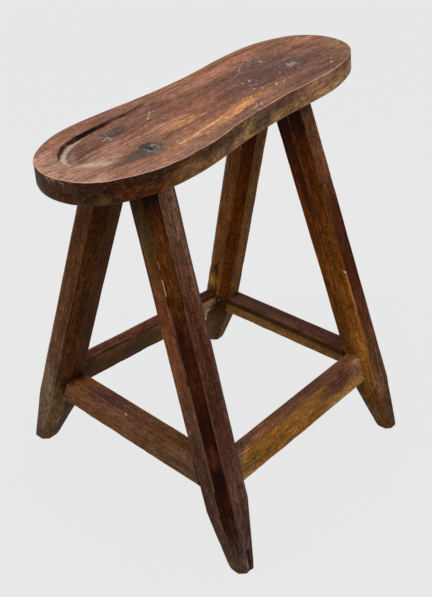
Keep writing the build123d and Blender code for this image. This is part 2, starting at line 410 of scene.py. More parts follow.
def merged_copy(name):
    """The node's solid as one closed mesh with whole flat faces."""
    mesh = bmesh.new()
    mesh.from_mesh(frame["nodes"][name].data)
    bmesh.ops.remove_doubles(mesh, verts=mesh.verts, dist=0.002 * MM)
    bmesh.ops.dissolve_limit(mesh, angle_limit=math.radians(WHOLE_FACE_TURN), verts=mesh.verts,
                             edges=mesh.edges)
    return mesh


def slice_up(mesh, space, axis, places):
    """Cuts the whole mesh by planes square to one of the space's axes, at places in metres."""
    direction = space.to_3x3().col[axis]
    for at in places:
        geometry = list(mesh.verts) + list(mesh.edges) + list(mesh.faces)
        bmesh.ops.bisect_plane(mesh, geom=geometry, plane_co=space.translation + direction * at,
                               plane_no=direction, dist=0.01 * MM)


def steps(low, high, step):
    count = max(1, round((high - low) / step))
    return [low + (high - low) * i / count for i in range(1, count)]


def round_edges(mesh, width, low, high, keep):
    """Rounds the edges whose faces turn by an angle between two limits, in degrees."""
    chosen = [e for e in mesh.edges if len(e.link_faces) == 2
              and math.radians(low) < e.calc_face_angle_signed(0) < math.radians(high) and keep(e)]
    bmesh.ops.bevel(mesh, geom=chosen, offset=width, offset_type="OFFSET", segments=2, profile=0.5,
                    affect="EDGES", material=-1, clamp_overlap=True)


def mark_arrises(mesh):
    """Writes 1 on the vertices where the faces turn, for the wear along the edges."""
    mesh.normal_update()
    layer = mesh.verts.layers.float.new("arris")
    for vert in mesh.verts:
        turns = [e.calc_face_angle(0) for e in vert.link_edges if len(e.link_faces) == 2]
        vert[layer] = 1.0 if turns and max(turns) > math.radians(ARRIS_TURN) else 0.0
    return layer


def ripple(place, along, across, seed, over):
    """How far a smooth noise from 0 to 1, long in X, rises over a level."""
    at = Vector((place.x * along, place.y * across, place.z * across))
    value = 0.5 + 0.75 * noise.noise(at + Vector((seed, seed * 1.7, seed * 2.3)))
    return max(0.0, min(1.0, max(0.0, value)) - over)


def worn_post(place, broad, fine, seed, arris):
    """The depth worn off a leg or stretcher: hollows, rough hewing, and nicks along the arrises."""
    hollow = ripple(place, *broad, seed, 0.45)
    rough = ripple(place, *fine, seed + 4, 0.45)
    nick = ripple(place, 60, 60, seed + 9, 0.66) * arris
    return (0.8 * hollow + 0.6 * rough + 1.8 * nick) * MM


def wear(mesh, space, amount):
    """Moves vertices inwards by amount(local place, local normal, world place, vertex) in metres."""
    mesh.normal_update()
    to_local = space.inverted()
    turn = to_local.to_3x3()
    moves = []
    for vert in mesh.verts:
        depth = amount(to_local @ vert.co, turn @ vert.normal, vert.co, vert)
        if depth:
            moves.append((vert, vert.normal * -depth))
    for vert, move in moves:
        vert.co += move


def carved(place, cuts):
    """The depth of the deepest cut at a place. Cuts are from, to, half width, depth in millimetres."""
    deepest = 0.0
    for start, finish, width, depth in cuts:
        start, finish = Vector(start) * MM, Vector(finish) * MM
        run = finish - start
        share = min(1.0, max(0.0, (place - start).dot(run) / run.dot(run)))
        gap = (place - start - run * share).length / (width * MM)
        if gap < 1:
            deepest = max(deepest, depth * MM * (1 - gap * gap) ** 2)
    return deepest


def mesh_data(name, mesh):
    data = bpy.data.meshes.new(name)
    mesh.to_mesh(data)
    mesh.free()
    return data


def new_object(name, data):
    made = bpy.data.objects.new(name, data)
    bpy.context.scene.collection.objects.link(made)
    return made


def add_piece(name, mesh, nodes, material):
    """Turns a mesh into a piece of the stool that stands for the given solids."""
    data = mesh_data(name, mesh)
    for face in data.polygons:
        face.use_smooth = True
    data.set_sharp_from_angle(angle=math.radians(SHARP_TURN))
    data.materials.append(material)
    piece = new_object(name, data)
    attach(piece, "root")
    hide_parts(*nodes)


# The seat's top, seen from above: places in millimetres from the middle of the seat.
# The seat, the tenons and the wedges share these tables, so that stains run over the joints.
# The rows are as Wood's spots and strokes take them.

SEAT_TONE = (146, 102, 82)

TOP_SPOTS = [
    ((182, 138, 117), 0.7, (-215, 0), (26, 70), 0.4),
    ((164, 118, 100), 0.6, (-130, -68), (90, 16), 0.5),
    ((156, 106, 88), 0.6, (-140, 62), (80, 14), 0.5),
    ((104, 70, 58), 0.75, (-166, 20), (36, 18), 0.5, 25),
    ((130, 90, 76), 0.6, (-110, 30), (70, 20), 0.5),
    ((146, 104, 86), 0.6, (-128, -8), (46, 14)),
    ((172, 134, 112), 0.6, (-176, -20), (22, 16), 0.6, 40),
    ((208, 148, 102), 0.85, (-56, -19), (30, 8), 0.5),
    ((124, 82, 64), 0.6, (-70, 4), (36, 9)),
    ((174, 108, 68), 0.35, (-38, -38), (42, 9), 0.6, 4),
    ((128, 86, 70), 0.4, (-62, 24), (36, 14)),
    ((148, 94, 72), 0.7, (-8, 2), (52, 30)),
    ((96, 62, 52), 0.7, (-40, 34), (16, 11)),
    ((124, 84, 68), 0.5, (-20, 24), (60, 12)),
    ((108, 76, 66), 0.85, (112, 0), (92, 34), 0.45),
    ((96, 70, 64), 0.6, (108, 2), (50, 24)),
    ((104, 72, 61), 0.65, (136, -51), (60, 15), 0.5, 8),
    ((142, 106, 94), 0.45, (101, 24), (36, 9)),
    ((156, 105, 77), 0.75, (100, 60), (110, 15), 0.5),
    ((134, 90, 72), 0.6, (178, 22), (30, 26), 0.5),
    ((168, 120, 84), 0.5, (196, 34), (12, 22), 0.6, 30),
    ((200, 138, 82), 0.9, (2, -44), (38, 7), 0.6, 13),
    ((172, 116, 78), 0.6, (58, -34), (36, 7), 0.6, 8),
    ((196, 134, 96), 0.6, (-60, -54), (60, 8), 0.6, 6),
    ((150, 120, 74), 0.5, (218, -8), (9, 22), 0.6, -14),
    ((140, 114, 72), 0.5, (204, 46), (16, 6), 0.6, -35),
    ((150, 124, 96), 0.4, (-210, 22), (7, 12), 0.6, -30),
    ((98, 87, 83), 0.75, (-145, -40), (24, 6), 0.5, -6),
    ((78, 71, 70), 0.75, (-130, -31.5), (21, 4.5), 0.5, 3),
    ((84, 74, 72), 0.8, (-124, -43), (17, 7.5), 0.5, 8),
    ((80, 66, 62), 0.8, (-113, 26), (10, 10)),
    ((92, 74, 63), 0.6, (147, -8), (7, 15), 0.7, -30),
    ((126, 114, 106), 0.5, (112, 31), (6, 6), 0.8),
]

TOP_STREAKS = [
    ((238, 188, 140), 0.7, ((-98, -54), (-76, -53), (-44, -47), (-26, -44)), 1.3),
    ((206, 148, 92), 0.6, ((-26, -50), (8, -46), (30, -42)), 2.4, 0.7),
    ((92, 56, 40), 0.6, ((-14, -58), (8, -53), (34, -50)), 1.6, 0.7),
    ((100, 60, 42), 0.6, ((60, 60), (100, 65), (150, 64), (186, 56)), 1.8, 0.7),
    ((104, 68, 54), 0.5, ((-120, 6), (-80, 14), (-50, 12)), 2.0),
    ((104, 70, 56), 0.5, ((-100, -30), (-40, -30), (10, -26)), 2.2),
    ((108, 72, 58), 0.5, ((20, 24), (70, 25), (110, 20)), 2.4),
    ((180, 126, 96), 0.45, ((-150, -4), (-110, -8), (-80, -4)), 1.8),
    ((174, 120, 92), 0.45, ((-30, 46), (20, 44), (60, 42)), 2.0),
    ((176, 130, 108), 0.45, ((-190, 8), (-160, 8), (-130, 4)), 1.8),
    ((110, 74, 60), 0.45, ((-90, 38), (-50, 30), (0, 34)), 2.4),
]

# Along the dish's lip: pale streaks of wax and dirt at the foot of its wall, and dark lines that are painted
# shade on the wall, with dirt
LIP_MARKS_AND_SHADE = [
    ((200, 180, 162), 0.7, ((-200, 5), (-196.5, 15)), 1.1),
    ((202, 183, 166), 0.85, ((-195.5, 16), (-189, 25.5), (-180, 34.5)), 2.6),
    ((198, 176, 158), 0.75, ((-180, 34.5), (-166, 41.5), (-152, 45.2)), 2.4),
    ((176, 146, 128), 0.5, ((-152, 45.2), (-136, 47)), 2.0),
    ((150, 124, 108), 0.5, ((-194, 6), (-186, 18), (-174, 27)), 2.2, 0.9),
    # From here to the pale streaks below: dark lines along the lip, painted shade on the dish's wall, with
    # dirt
    ((60, 34, 24), 0.8, ((-203, 6), (-200, 18), (-192, 31), (-180, 40)), 0.8, 0.7, False),
    ((40, 20, 14), 0.9, ((-182, 39.5), (-168, 44.5), (-152, 48.5), (-126, 49.5)), 1.3, 0.7),
    ((40, 21, 15), 0.95, ((-152, 48.4), (-132, 49.4), (-112, 49.4)), 1.8, 0.6),
    ((48, 27, 19), 0.9, ((-114, 48.4), (-84, 49.2), (-58, 49.8)), 2.1, 0.6),
    ((60, 36, 26), 0.8, ((-64, 49.8), (-48, 50.4)), 1.0),
    ((92, 62, 50), 0.6, ((-203, 4), (-201, -10), (-193, -22), (-180, -32)), 0.8, 0.8, False),
    ((86, 66, 56), 0.6, ((-180, -30), (-168, -38), (-154, -43), (-136, -45)), 1.4),
    ((200, 176, 152), 0.45, ((-194, -3), (-186, -11), (-178, -21)), 5.0, 0.9),
    ((204, 184, 160), 0.55, ((-189, -8), (-181, -12)), 1.8, 0.9),
    ((204, 184, 160), 0.5, ((-186, -18), (-177, -17)), 1.3, 0.9),
    ((204, 180, 158), 0.5, ((-180, -24), (-170, -27)), 1.3, 0.9),
    ((196, 168, 146), 0.45, ((-174, -14), (-160, -19), (-152, -24)), 1.5, 0.9),
]

CHIP_MARKS = [
    ((110, 80, 70), 0.6, ((-4, -60), (12, -62), (32, -60)), 3.4),
    ((96, 70, 54), 0.5, ((-4, -56), (12, -54), (22, -51)), 0.8),
    ((86, 58, 48), 0.7, ((13, -66), (15.5, -61)), 1.2, 0.8, False),
    ((92, 66, 56), 0.6, ((21, -65), (24, -59)), 1.4, 0.8, False),
    ((182, 154, 142), 0.65, ((14.5, -59.5), (20, -55.5), (26, -51.5)), 0.8),
    ((184, 158, 146), 0.6, ((17.5, -60), (17.8, -65)), 0.9),
    ((196, 168, 152), 0.7, ((27.5, -57), (30, -55)), 1.3),
    ((170, 142, 130), 0.5, ((25.5, -64), (29, -60)), 0.8),
    ((112, 70, 46), 0.6, ((-86, -11), (-62, -10), (-40, -13)), 0.7),
    ((112, 70, 46), 0.6, ((-78, -20), (-52, -21), (-34, -20)), 0.7),
    ((54, 32, 22), 0.7, ((-52, -18), (-47, -17)), 0.8, 0.8, False),
    ((226, 170, 122), 0.5, ((-72, -14), (-54, -15), (-42, -17)), 0.8),
    ((210, 190, 176), 0.7, ((165, -44.5), (169, -41.5)), 0.8, 0.8, False),
    ((88, 64, 54), 0.6, ((115, 37.4), (120, 37)), 2.2),
    ((164, 150, 138), 0.5, ((112, 35), (114, 36.5)), 0.8),
    ((156, 140, 130), 0.75, ((130, -10.5), (134, -8), (140, -7.5)), 2.3),
    ((148, 132, 124), 0.6, ((139, -10), (138.5, -16)), 1.2),
    ((186, 170, 160), 0.8, ((127.5, -9.6), (129, -8.3), (133, -3.6)), 0.9, 0.8, False),
    ((64, 48, 42), 0.75, ((130.8, -7), (135, -3), (140, 0.5)), 0.6, 0.8, False),
    ((86, 68, 60), 0.6, ((132.5, -14.5), (135.5, -14.5)), 1.2),
]

SPECK_TONE = (228, 210, 198)
SPECKS = [
    # place, half size: pale specks in the wood
    (-74, 19, 1.0), (-70, 21, 0.7), (-76, 17, 0.6), (-66, 26, 0.8), (-63, 28, 0.9), (-60, 31, 0.6),
    (-69, 24, 0.6), (-65, 22, 0.5), (-58, 27, 0.6), (-89, 6, 0.7), (-82, -2, 0.5), (-45, -8, 0.6),
    (-30, 22, 0.5), (91, 34, 0.9), (83, 28, 0.9), (87, 31, 0.5), (72, 22, 0.7), (80, 24, 0.5),
    (57, -1, 0.9), (66, -3, 1.1), (69, -1, 0.7), (54, -22, 0.9), (61, -28, 1.0), (78, -34, 1.1),
    (81, -32, 0.8), (89, -36, 0.7), (64, -16, 0.6), (58, -12, 0.6), (73, -8, 0.5), (176, -35, 0.9),
    (184, -30, 0.5), (112, 42, 0.7), (34, -34, 0.8), (40, -20, 0.5), (22, 12, 0.5), (100, 16, 0.5),
    (-12, 20, 0.5), (150, 30, 0.5), (4, -34, 0.6),
]

TENON_MARKS = {
    "wide_left": [
        ((190, 178, 168), 0.5, ((-131, 24), (-137, 30)), 0.7, 0.8, False),
        ((196, 184, 172), 0.6, ((-130, 22), (-133, 14)), 0.8, 0.8, False),
        ((190, 178, 166), 0.5, ((-132, 22), (-139, 20)), 0.7, 0.8, False),
        ((176, 162, 152), 0.4, ((-129, 25), (-126, 32)), 0.5, 0.8, False),
        ((186, 172, 162), 0.5, ((-139, 20), (-136, 15), (-128, 13)), 0.6, 0.8, False),
        ((70, 58, 54), 0.7, ((-127, 23), (-120, 19)), 1.0, 0.8, False),
        ((76, 62, 58), 0.6, ((-135, 27), (-127, 29)), 0.8, 0.8, False),
    ],
    "wide_right": [
        ((60, 55, 55), 0.6, ((-134, -27), (-114, -27)), 2.6),
        ((158, 145, 137), 0.65, ((-130, -34), (-131.5, -40), (-128, -45)), 1.0),
        ((22, 15, 13), 0.95, ((-125, -32), (-124, -41)), 1.1, 0.6, False),
        ((150, 137, 130), 0.6, ((-120, -33), (-117, -38), (-119, -43)), 1.1),
        ((196, 186, 178), 0.6, ((-119.5, -33.5), (-117.5, -34.5)), 0.6, 0.8, False),
        ((132, 120, 112), 0.5, ((-127, -44), (-119, -44.5)), 0.6, 0.8, False),
    ],
    "narrow_right": [((84, 60, 52), 0.3, ((112, -18), (120, -24)), 0.8)],
    "narrow_left": [
        ((70, 52, 46), 0.45, ((112, 35), (117, 37)), 1.6),
        ((76, 54, 46), 0.3, ((106, 33), (112, 30)), 0.9),
    ],
}

# Where each tenon shows: its middle, and the tone it has beside the seat's
TENONS = {
    "wide_left": ((-128.8, 24.3), (104, 86, 78), 0.8),
    "wide_right": ((-122.2, -35.1), (88, 80, 77), 0.85),
    "narrow_left": ((110.3, 29.1), (108, 80, 68), 0.12),
    "narrow_right": ((116.3, -22.2), (104, 78, 70), 0.12),
}
TENON_NEAR = 60


def near_tenon(corner):
    """The spots on the seat's top that reach the surroundings of a tenon."""
    middle = Vector(TENONS[corner][0])
    return [row for row in TOP_SPOTS if (Vector(row[2]) - middle).length < TENON_NEAR + max(row[3])]


# Legs. Places in millimetres: up the leg from the ground, towards the narrow end, to the left.
# The camera sees the faces towards -Y, between the two, and towards -Z.
# A tone along a face is its place, red, green and blue.
# The faces' tones are the wood's colour with painted light and shade: each face is lighter or darker by how
# light falls on it.

LEGS = {
    "wide_left": {
        "seed": 3.1, "tone": (74, 46, 28),
        "faces": {
            (-1, 0): [(0, 94, 70, 50), (90, 110, 86, 66), (160, 92, 62, 42), (300, 86, 52, 26),
                      (450, 68, 36, 16)],
            (-1, -1): [(0, 84, 64, 38), (80, 96, 70, 40), (150, 70, 38, 14), (300, 70, 37, 11),
                       (450, 54, 24, 4)],
            (0, -1): [(0, 76, 52, 34), (100, 72, 44, 26), (160, 72, 36, 14), (300, 80, 44, 16),
                      (450, 78, 42, 12)],
            (1, -1): [(0, 74, 50, 32), (200, 90, 58, 32), (380, 104, 72, 40), (450, 76, 46, 20)],
        },
        "spots": [
            # Painted shade in the corner where the wide end's stretcher meets the leg
            ((26, 11, 6), 0.8, (132, -10, -20), (14, 14, 8)),
            ((114, 88, 64), 0.6, (110, -24, 6), (44, 8, 14)),
            ((60, 40, 26), 0.5, (160, -24, -8), (18, 8, 10)),
            ((100, 62, 30), 0.5, (300, -24, 6), (60, 8, 8)),
        ],
        "strokes": [
            ((24, 10, 6), 0.8, ((417, -21, -12), (405, -10, -23)), 0.9, 0.7),
            ((44, 26, 15), 0.6, ((150, -23.5, 14), (164, -23.5, -2)), 0.8),
        ],
        "cuts": [((417, -21, -12), (405, -10, -23), 4, 1.6), ((26, -20, -12), (40, -21, -14), 6, 1.5)],
        "sole": 8,
    },
    "wide_right": {
        "seed": 7.9, "tone": (72, 42, 26),
        "faces": {
            (-1, 0): [(0, 62, 46, 34), (60, 72, 48, 36), (200, 86, 54, 38), (320, 106, 60, 28),
                      (400, 86, 54, 22), (450, 52, 30, 10)],
            (-1, -1): [(0, 90, 68, 54), (30, 68, 44, 34), (80, 46, 18, 8), (200, 48, 16, 5),
                       (300, 50, 20, 7), (390, 84, 44, 14), (450, 34, 12, 4)],
            (0, -1): [(0, 80, 60, 50), (60, 74, 50, 40), (200, 75, 42, 31), (320, 89, 51, 33),
                      (450, 118, 86, 64)],
        },
        "spots": [
            ((70, 30, 10), 0.35, (236, -17, -17), (22, 6, 6), 0.7),
            ((98, 52, 16), 0.6, (375, -17, -17), (52, 6, 6)),
            ((30, 10, 5), 0.8, (122, -17, -17), (22, 6, 6)),
            ((100, 50, 34), 0.5, (150, -17, -17), (14, 6, 6)),
            ((92, 62, 50), 0.6, (108, 0, -23), (26, 8, 5), 0.7),
            ((108, 60, 34), 0.5, (300, -23, 2), (40, 5, 10), 0.7),
            ((62, 54, 22), 0.6, (412, -23, 0), (18, 5, 12), 0.7),
            ((104, 80, 48), 0.6, (10, -14, -4), (8, 8, 8)),
            ((60, 58, 56), 0.5, (24, -8, -16), (10, 6, 8)),
        ],
        "strokes": [
            ((224, 180, 134), 0.7, ((364, -22.5, -11.2), (346, -22.5, -11.4)), 0.45),
            ((204, 160, 118), 0.5, ((385, -22.5, -11.2), (377, -22.5, -11.4)), 0.4),
            ((150, 108, 84), 0.5, ((250, -22.5, -11.2), (332, -22.5, -11.4)), 0.45, 0.9),
            ((136, 96, 76), 0.5, ((110, -22.5, -11.2), (240, -22.5, -11.4)), 0.7, 0.9),
            ((120, 88, 72), 0.45, ((60, -11, -22.5), (330, -11, -22.8)), 0.6, 0.9),
            ((176, 150, 136), 0.5, ((180, -23.5, 6), (183, -23.5, 5)), 0.8),
            ((186, 150, 126), 0.7, ((3, -5, -16), (14, -4, -17)), 1.0, 0.7),
            ((22, 10, 7), 0.85, ((0, -1, -15), (22, 0, -17)), 1.4, 0.6),
        ],
        "cuts": [((-2, -2, -14), (24, -1, -18), 4, 4.5), ((384, -22, -11), (340, -22, -11), 3.5, 0.5),
                 ((32, 4, -22), (58, 4, -22), 12, 1.0), ((2, -14, 4), (8, -14, -2), 6, 1.2)],
        "sole": 5,
    },
    "narrow_left": {
        "seed": 5.3, "tone": (88, 56, 28),
        "faces": {
            (-1, 0): [(0, 92, 64, 36), (90, 76, 48, 22), (140, 128, 80, 26), (200, 104, 60, 22),
                      (300, 110, 66, 26), (450, 94, 54, 18)],
            (-1, -1): [(0, 100, 72, 38), (100, 80, 44, 9), (200, 96, 44, 3), (330, 94, 42, 1),
                       (450, 60, 26, 2)],
            (0, -1): [(0, 110, 82, 44), (90, 102, 72, 34), (160, 120, 74, 32), (300, 122, 76, 36),
                      (450, 98, 62, 24)],
        },
        "spots": [
            ((150, 102, 34), 0.8, (140, -21, 3), (12, 5, 10)),
            ((34, 14, 5), 0.9, (166, -21, 1), (9, 5, 5)),
            # Painted shade in the corner where the left stretcher meets the leg
            ((30, 13, 6), 0.8, (102, -16, -8), (16, 8, 8)),
        ],
        "strokes": [
            ((28, 12, 5), 0.85, ((172, -21.5, 2), (156, -21.5, 6)), 1.8, 0.6),
            ((40, 18, 6), 0.7, ((156, -21.5, 0), (118, -21, -5)), 1.0, 0.7),
            ((24, 10, 5), 0.85, ((86, -20, -6), (120, -20, -9)), 1.6, 0.6),
            ((208, 186, 160), 0.6, ((109, -20, -10), (111, -19, -11)), 0.7, 0.7),
        ],
        "cuts": [((172, -21, 3), (150, -21, 6), 5, 2.0), ((88, -20, -6), (112, -19, -12), 4, 1.2)],
        "sole": 5,
    },
    "narrow_right": {
        "seed": 9.7, "tone": (88, 54, 24),
        "faces": {
            (-1, 0): [(0, 84, 56, 24), (100, 98, 60, 18), (250, 116, 64, 15), (350, 106, 51, 9),
                      (450, 48, 20, 4)],
            (-1, -1): [(0, 88, 58, 32), (60, 100, 62, 26), (130, 124, 74, 22), (220, 108, 62, 17),
                       (320, 100, 54, 10), (400, 86, 39, 4), (450, 44, 18, 3)],
            (0, -1): [(0, 70, 48, 32), (70, 84, 58, 38), (140, 88, 54, 30), (230, 72, 31, 11),
                      (320, 75, 34, 14), (380, 100, 60, 36), (450, 104, 66, 44)],
        },
        "spots": [
            ((144, 92, 34), 0.6, (124, -16, -16), (34, 6, 6), 0.7),
            ((112, 84, 54), 0.6, (28, -18, -4), (16, 8, 10), 0.7),
            ((112, 78, 50), 0.6, (80, -8, -20), (22, 8, 6), 0.7),
            ((46, 22, 5), 0.7, (232, -21, 6), (10, 5, 5), 0.7),
            ((70, 32, 8), 0.5, (360, -16, -16), (50, 6, 6), 0.7),
            ((44, 22, 6), 0.6, (370, -21, -4), (70, 5, 5), 0.6, 3),
        ],
        "strokes": [
            ((196, 146, 96), 0.6, ((192, -10.5, -20.8), (240, -10.5, -20.8)), 0.8, 0.9),
            ((226, 196, 156), 0.9, ((243, -10.7, -20.8), (249, -14, -19)), 1.2, 0.7),
            ((154, 110, 58), 0.5, ((96, -13, -19), (176, -11, -20)), 0.8, 0.9),
            ((70, 34, 12), 0.6, ((196, 0, -21), (340, 0, -21.5)), 1.8, 0.9),
        ],
        "cuts": [((244, -11, -20), (249, -14, -18), 4, 1.2), ((10, -16, -12), (22, -17, -14), 5, 1.2)],
        "sole": 8,
    },
}

LEG_STEP = 4.5 * MM
LEG_EDGE, LEG_EDGE_TURNS = 1.1 * MM, (20, 62)
LEG_EDGE_TONE = (150, 104, 74)
PLAIN_POST = 0.2  # above this height the legs are not whittled
SOLE_CUTS = (-8, -6, -4, -2, 0, 2, 4, 6, 8, 10.5, 13, 16, 19, 22.5, 26)
SOLE_ROUNDING = 0.22
# Painted shade, with some dirt, at the legs' tops under the seat: its tone, how far below the seat it reaches
# and how soft its ends are, in millimetres
UNDER_SEAT_SHADE_TONE, UNDER_SEAT_DROP, UNDER_SEAT_EASE = (24, 11, 6), 22, 20
TENON_TOP = SEAT_TOP - 7 * MM


def leg_wood(corner):
    facts = LEGS[corner]
    wood = Wood(f"leg_wood_{corner}", leg_space(corner), facts["seed"], facts["tone"])
    for (y, z), tones in facts["faces"].items():
        # Each face gets its own tones up the leg: wood colour with painted light and shade by the way the
        # face is turned.
        wood.lay(wood.face(y, z), wood.tones_along(tones))
    wood.spots(facts["spots"])
    length = leg_run(corner).length / MM
    # Darker at the leg's top: painted shade under the seat, with some dirt.
    under_seat_shade = wood.stretch(length - UNDER_SEAT_DROP, length + UNDER_SEAT_EASE, UNDER_SEAT_EASE)
    wood.lay(under_seat_shade, UNDER_SEAT_SHADE_TONE, 0.6)
    tone, strength = TENONS[corner][1:]
    top = wood.world["Z"].between(TENON_TOP, TENON_TOP + 1 * MM)
    wood.lay(top, SEAT_TONE)
    wood.spots(near_tenon(corner), top)
    wood.lay(top, tone, strength)
    wood.weather()
    wood.rub_edges(LEG_EDGE_TONE, 0.22)
    wood.strokes(facts["strokes"], sink=0.8)
    wood.strokes(TENON_MARKS[corner], top)
    return wood.finish()


def make_leg(corner):
    space = leg_space(corner)
    facts = LEGS[corner]
    name = f"leg_{corner}"
    mesh = merged_copy(name)
    to_local = space.inverted()
    post = [v.co for v in mesh.verts if PLAIN_POST < v.co.z < SEAT_UNDERSIDE + 0.01 * MM]
    reach = max(abs((to_local @ place).y) for place in post) + 1 * MM
    sole = SOLES[corner]

    def on_post(edge):
        return all(v.co.z < SEAT_UNDERSIDE + 0.02 * MM for v in edge.verts)

    round_edges(mesh, LEG_EDGE, *LEG_EDGE_TURNS, on_post)
    near_sole = [place * MM for place in SOLE_CUTS]
    slice_up(mesh, space, 0, near_sole + steps(near_sole[-1], leg_run(corner).length, LEG_STEP))
    for axis in (1, 2):
        slice_up(mesh, space, axis, steps(-reach, reach, LEG_STEP))
    layer = mark_arrises(mesh)

    def amount(local, normal, world, vert):
        if world.z > SEAT_UNDERSIDE - 0.3 * MM:
            return 0
        depth = worn_post(local, (9, 14), (30, 70), facts["seed"], vert[layer]) + carved(local, facts["cuts"])
        return depth if world.z > 0.3 * MM else depth * 0.25

    wear(mesh, space, amount)
    for vert in mesh.verts:
        share = max(0.0, 1 - vert.co.z / (facts["sole"] * MM))
        away = Vector((vert.co.x - sole.x, vert.co.y - sole.y, 0))
        vert.co -= away * (SOLE_ROUNDING * share * share)
    add_piece(f"old_{name}", mesh, [name], leg_wood(corner))


# Stretchers. Places in millimetres: along from the middle, away from the camera, up.
# Tones are given for the top, the near side and the other sides.

RAILS = {
    "stretcher_left": {
        "seed": 2.2, "tone": (60, 42, 28),
        "top": [(-130, 66, 34, 22), (-60, 98, 56, 38), (40, 90, 52, 34), (130, 62, 34, 22)],
        "near": [(-130, 48, 20, 10), (-90, 86, 52, 28), (-20, 78, 48, 25), (20, 96, 66, 24),
                 (80, 150, 116, 72), (104, 180, 144, 98), (114, 84, 50, 28), (130, 54, 30, 18)],
        "spots": [
            ((54, 36, 22), 0.7, (-40, -9, -20), (90, 5, 6), 0.5),
            ((62, 48, 28), 0.5, (-20, -9, 2), (24, 5, 12)),
            ((104, 64, 44), 0.5, (-95, 0, 21), (16, 10, 4)),
        ],
        "strokes": [],
    },
    "stretcher_right": {
        "seed": 4.6, "tone": (110, 72, 38),
        "top": [(-130, 96, 72, 66), (-100, 106, 70, 56), (-60, 134, 86, 58), (0, 112, 70, 54),
                (80, 102, 66, 52), (130, 124, 78, 50)],
        "near": [(-130, 120, 92, 58), (-114, 150, 108, 56), (-108, 148, 98, 42), (-60, 146, 96, 40),
                 (10, 144, 94, 44), (70, 140, 96, 52), (130, 150, 106, 58)],
        "spots": [
            ((92, 56, 42), 0.95, (74, -11.5, 6), (58, 5, 13), 0.3, -7),
            ((114, 80, 56), 0.6, (116, -11.5, 2), (18, 5, 10), 0.5),
            ((166, 108, 72), 0.6, (-60, -9, 17), (24, 5, 4)),
            ((118, 78, 32), 0.5, (-92, -11.5, -2), (14, 5, 10)),
            ((100, 84, 84), 0.7, (-116, -8, 20), (6, 8, 4), 0.5),
            ((160, 114, 60), 0.6, (90, -11.5, -14), (40, 5, 4)),
        ],
        "strokes": [
            ((96, 64, 52), 0.6, ((-100, -11.2, 14.5), (10, -11.2, 13.5)), 1.2, 0.9),
            ((182, 136, 108), 0.4, ((-118, -10, 18), (120, -10, 18)), 0.9, 0.9),
            ((40, 18, 10), 0.8, ((-104, -3, 19), (-102, -1, 19)), 1.2, 0.7),
            ((70, 42, 18), 0.6, ((60, -11.5, 8), (64, -11.5, 9)), 1.0, 0.7),
            ((176, 134, 100), 0.6, ((110, -11, 15), (118, -11, 16)), 1.8),
        ],
    },
    "stretcher_wide_end": {
        "seed": 6.4, "tone": (92, 60, 38),
        "top": [(-130, 50, 22, 12), (-90, 120, 72, 40), (-50, 112, 70, 54), (20, 116, 74, 52),
                (80, 116, 74, 40), (130, 96, 64, 44)],
        "near": [(-130, 100, 64, 38), (-40, 108, 70, 42), (40, 104, 68, 42), (130, 92, 66, 46)],
        "spots": [
            ((92, 58, 54), 0.6, (-46, -4, 17), (30, 9, 4)),
            ((130, 80, 42), 0.6, (-84, 6, 17), (26, 8, 4)),
            ((78, 56, 36), 0.35, (60, -15, -15), (60, 5, 5), 0.5),
            # Painted shade in the corner where the stretcher meets the wide left leg
            ((26, 11, 7), 0.85, (-110, 2, 12), (10, 16, 12)),
            ((120, 78, 50), 0.5, (-84, -15, -4), (30, 5, 10)),
        ],
        "strokes": [
            ((206, 176, 150), 0.8, ((-8, -10, 17), (-5, -11, 17)), 1.4, 0.7),
            ((50, 27, 18), 0.6, ((-100, 13.5, 17.5), (100, 13.5, 17.5)), 1.4, 0.9),
        ],
    },
    "stretcher_narrow_end": {
        "seed": 8.8, "tone": (86, 56, 32),
        "top": [(-130, 70, 42, 40), (-80, 104, 68, 54), (0, 104, 68, 52), (60, 98, 60, 46),
                (130, 80, 46, 26)],
        "near": [(-130, 98, 66, 28), (-60, 130, 92, 42), (30, 134, 96, 44), (130, 108, 70, 30)],
        "spots": [
            ((66, 38, 30), 0.5, (-20, 4, 12), (60, 5, 4)),
            ((146, 106, 50), 0.5, (10, -14, -9), (70, 5, 4)),
        ],
        "strokes": [((46, 25, 12), 0.85, ((-110, -14, 8), (110, -14, 6)), 3.6, 0.6)],
    },
}

RAIL_STEPS = 4.5 * MM, 4 * MM, 4 * MM
RAIL_EDGE, RAIL_EDGE_TURNS = 0.9 * MM, (20, 100)
RAIL_EDGE_TONE = (160, 112, 80)
RAIL_END_KEPT, RAIL_END_EASE = 14 * MM, 5 * MM


def rail_wood(name):
    facts = RAILS[name]
    wood = Wood(f"wood_{name}", rail_space(name), facts["seed"], facts["tone"])
    wood.lay(wood.face(-1, 0, 0.7, 0.9), wood.tones_along(facts["near"]))
    wood.lay(wood.face(0, 1, 0.6, 0.85), wood.tones_along(facts["top"]))
    wood.spots(facts["spots"])
    wood.weather(band=0.14, fibre=0.24, pore=0.5, small=0.16, grit=0.30)
    wood.rub_edges(RAIL_EDGE_TONE, 0.30)
    wood.strokes(facts["strokes"], sink=0.8)
    return wood.finish()


